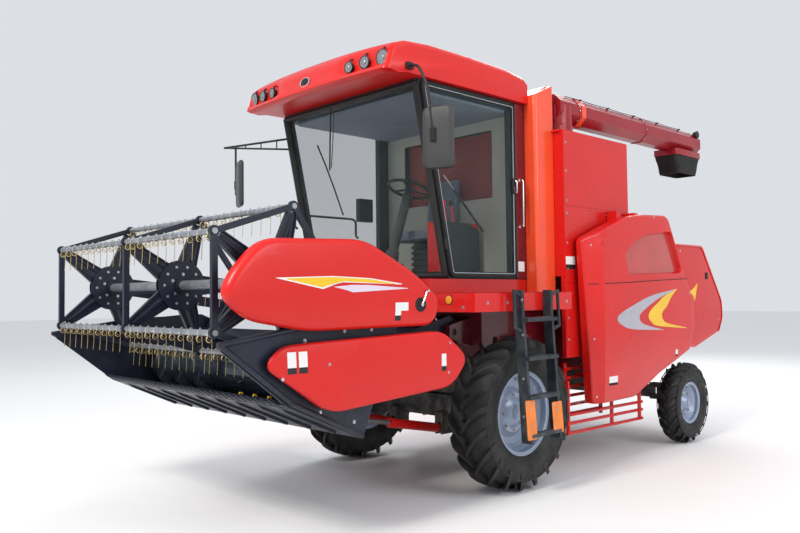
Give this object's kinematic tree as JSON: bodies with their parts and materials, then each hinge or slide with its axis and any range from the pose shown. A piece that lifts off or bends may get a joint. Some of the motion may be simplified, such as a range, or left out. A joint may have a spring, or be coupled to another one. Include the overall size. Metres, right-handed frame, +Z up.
{
  "type": "wheeled combine harvester",
  "caption": "Self-propelled grain combine: raised cutting header with reel and auger, cab, grain tank, folded unloading auger, rear-steered wheels",
  "frame": {"origin": "on the ground under the middle of the machine, half way along its length and width", "axes": "+Z up, -Y is forward (the header end), +X is the machine's left (the ladder side)"},
  "size_m": [3.1196, 7.15, 3.7],
  "materials": {
    "red": "gloss paint",
    "navy": "satin paint",
    "black": "satin paint",
    "rim_grey": "semi-gloss paint",
    "tyre": "moulded rubber",
    "steel": "plain steel",
    "grey": "satin paint",
    "crimson": "gloss paint",
    "glass": "clear glass",
    "seat": "woven fabric",
    "rubber": "flexible rubber",
    "red_plastic": "gloss moulded plastic",
    "black_plastic": "matte moulded plastic"
  },
  "bodies": {
    "chassis": {"chassis_frame": "navy", "front_axle": "black", "rear_axle_beam": "black", "threshing_body": "red", "engine_block": "grey", "radiator_screen": "black", "grain_tank": "red", "tank_front_panel": "red", "rear_hood": "red", "lower_guard_left": "red", "lower_guard_right": "red", "slat_grille": "red", "platform": "red", "ladder": "grey", "cab_frame": "black", "windshield": "glass", "right_window": "glass", "rear_window": "glass", "driver_seat": "seat", "steering_column": "black_plastic", "lever_console": "red", "cab_roof": "red_plastic", "mirror_left": "black_plastic", "mirror_right": "black_plastic", "unloading_base": "crimson"},
    "front_wheel_left": {"front_tyre_left": "tyre", "front_rim_left": "rim_grey"},
    "front_wheel_right": {"front_tyre_right": "tyre", "front_rim_right": "rim_grey"},
    "knuckle_left": {"steering_knuckle_left": "black"},
    "knuckle_right": {"steering_knuckle_right": "black"},
    "rear_wheel_left": {"rear_tyre_left": "tyre", "rear_rim_left": "rim_grey"},
    "rear_wheel_right": {"rear_tyre_right": "tyre", "rear_rim_right": "rim_grey"},
    "tie_rod_body": {"tie_rod": "steel"},
    "steering_wheel_body": {"steering_wheel": "black_plastic"},
    "door": {"cab_door": "black", "door_glass": "glass"},
    "hood_left": {"side_hood_left": "red"},
    "hood_right": {"side_hood_right": "red"},
    "unloader": {"unloading_tube": "crimson", "unloading_spout": "rubber"},
    "header": {"feeder_house": "black", "header_trough": "navy", "knife_bar": "steel", "header_drive_cover": "red_plastic"},
    "auger": {"header_auger": "navy"},
    "reel_frame": {"reel_arms": "navy", "reel_drive_cover": "red_plastic"},
    "reel_rotor": {"reel": "navy"},
    "tine_bar_body_1": {"tine_bar_1": "grey"},
    "tine_bar_body_2": {"tine_bar_2": "grey"},
    "tine_bar_body_3": {"tine_bar_3": "grey"},
    "tine_bar_body_4": {"tine_bar_4": "grey"},
    "tine_bar_body_5": {"tine_bar_5": "grey"},
    "lift_barrel_left": {"lift_cylinder_left": "red"},
    "lift_barrel_right": {"lift_cylinder_right": "red"},
    "lift_ram_left": {"lift_rod_left": "steel"},
    "lift_ram_right": {"lift_rod_right": "steel"}
  },
  "joints": [
    {"name": "front_wheel_left_spin", "type": "hinge", "parent": "chassis", "child": "front_wheel_left", "pos_m": [1.2, -0.705, 0.6375], "axis": [1, 0, 0], "continuous": true},
    {"name": "steer_left", "type": "hinge", "parent": "chassis", "child": "knuckle_left", "pos_m": [1.02, 2.2, 0.53], "axis": [0, 0, 1], "range_deg": [-32, 32]},
    {"name": "rear_wheel_left_spin", "type": "hinge", "parent": "knuckle_left", "child": "rear_wheel_left", "pos_m": [1.28, 2.2, 0.43], "axis": [1, 0, 0], "continuous": true},
    {"name": "hood_left_open", "type": "hinge", "parent": "chassis", "child": "hood_left", "pos_m": [1.1737, 1.11, 2.44], "axis": [0, -1, 0], "range_deg": [0, 60]},
    {"name": "front_wheel_right_spin", "type": "hinge", "parent": "chassis", "child": "front_wheel_right", "pos_m": [-0.76, -0.705, 0.6375], "axis": [1, 0, 0], "continuous": true},
    {"name": "steer_right", "type": "hinge", "parent": "chassis", "child": "knuckle_right", "pos_m": [-0.58, 2.2, 0.53], "axis": [0, 0, 1], "range_deg": [-32, 32]},
    {"name": "rear_wheel_right_spin", "type": "hinge", "parent": "knuckle_right", "child": "rear_wheel_right", "pos_m": [-0.84, 2.2, 0.43], "axis": [1, 0, 0], "continuous": true},
    {"name": "hood_right_open", "type": "hinge", "parent": "chassis", "child": "hood_right", "pos_m": [-0.7337, 1.11, 2.44], "axis": [0, 1, 0], "range_deg": [0, 60]},
    {"name": "tie_rod_pivot", "type": "hinge", "parent": "knuckle_left", "child": "tie_rod_body", "pos_m": [0.97, 2.4, 0.41], "axis": [0, 0, 1], "range_deg": [-32, 32]},
    {"name": "steering_wheel_turn", "type": "hinge", "parent": "chassis", "child": "steering_wheel_body", "pos_m": [0, -0.70468, 2.64645], "axis": [0, 0.3387, 0.9409], "continuous": true},
    {"name": "cab_door_open", "type": "hinge", "parent": "chassis", "child": "door", "pos_m": [0.9342, -1.20349, 2.05], "axis": [0, 0.2042, -0.9789], "range_deg": [0, 65]},
    {"name": "unloader_swing", "type": "hinge", "parent": "chassis", "child": "unloader", "pos_m": [0.955, 0.395, 3.4], "axis": [0, 0, 1], "range_deg": [-95, 0]},
    {"name": "header_lift", "type": "hinge", "parent": "chassis", "child": "header", "pos_m": [0.22, -0.855, 1.3], "axis": [1, 0, 0], "range_deg": [0, 24]},
    {"name": "auger_spin", "type": "hinge", "parent": "header", "child": "auger", "pos_m": [0, -2.5508, 1.03154], "axis": [1, 0, 0], "continuous": true},
    {"name": "reel_lift", "type": "hinge", "parent": "header", "child": "reel_frame", "pos_m": [0, -1.98491, 1.56006], "axis": [-1, 0, 0], "range_deg": [0, 14]},
    {"name": "reel_spin", "type": "hinge", "parent": "reel_frame", "child": "reel_rotor", "pos_m": [0, -3.095, 1.72], "axis": [1, 0, 0], "continuous": true},
    {"name": "tine_bar_1_level", "type": "hinge", "parent": "reel_rotor", "child": "tine_bar_body_1", "pos_m": [0, -3.5165, 2.02624], "axis": [1, 0, 0], "continuous": true},
    {"name": "tine_bar_2_level", "type": "hinge", "parent": "reel_rotor", "child": "tine_bar_body_2", "pos_m": [0, -2.934, 2.2155], "axis": [1, 0, 0], "continuous": true},
    {"name": "tine_bar_3_level", "type": "hinge", "parent": "reel_rotor", "child": "tine_bar_body_3", "pos_m": [0, -2.574, 1.72], "axis": [1, 0, 0], "continuous": true},
    {"name": "tine_bar_4_level", "type": "hinge", "parent": "reel_rotor", "child": "tine_bar_body_4", "pos_m": [0, -2.934, 1.2245], "axis": [1, 0, 0], "continuous": true},
    {"name": "tine_bar_5_level", "type": "hinge", "parent": "reel_rotor", "child": "tine_bar_body_5", "pos_m": [0, -3.5165, 1.41376], "axis": [1, 0, 0], "continuous": true},
    {"name": "lift_barrel_left_swing", "type": "hinge", "parent": "chassis", "child": "lift_barrel_left", "pos_m": [0.52, -0.835, 0.44], "axis": [1, 0, 0], "range_deg": [0, 23.04]},
    {"name": "lift_rod_left_slide", "type": "slide", "parent": "lift_barrel_left", "child": "lift_ram_left", "axis": [0, 0.9814, -0.1922], "range_m": [0, 0.35814]},
    {"name": "lift_barrel_right_swing", "type": "hinge", "parent": "chassis", "child": "lift_barrel_right", "pos_m": [-0.08, -0.835, 0.44], "axis": [1, 0, 0], "range_deg": [0, 23.04]},
    {"name": "lift_rod_right_slide", "type": "slide", "parent": "lift_barrel_right", "child": "lift_ram_right", "axis": [0, 0.9814, -0.1922], "range_m": [0, 0.35814]}
  ],
  "couplings": [
    {"joint": "steer_right", "follows": "steer_left", "ratio": 1},
    {"joint": "tie_rod_pivot", "follows": "steer_left", "ratio": -1},
    {"joint": "tine_bar_1_level", "follows": "reel_spin", "ratio": -1},
    {"joint": "tine_bar_2_level", "follows": "reel_spin", "ratio": -1},
    {"joint": "tine_bar_3_level", "follows": "reel_spin", "ratio": -1},
    {"joint": "tine_bar_4_level", "follows": "reel_spin", "ratio": -1},
    {"joint": "tine_bar_5_level", "follows": "reel_spin", "ratio": -1},
    {"joint": "lift_barrel_left_swing", "follows": "header_lift", "ratio": 0.96},
    {"joint": "lift_rod_left_slide", "follows": "header_lift", "m_per_rad": 0.855},
    {"joint": "lift_barrel_right_swing", "follows": "header_lift", "ratio": 0.96},
    {"joint": "lift_rod_right_slide", "follows": "header_lift", "m_per_rad": 0.855}
  ]
}
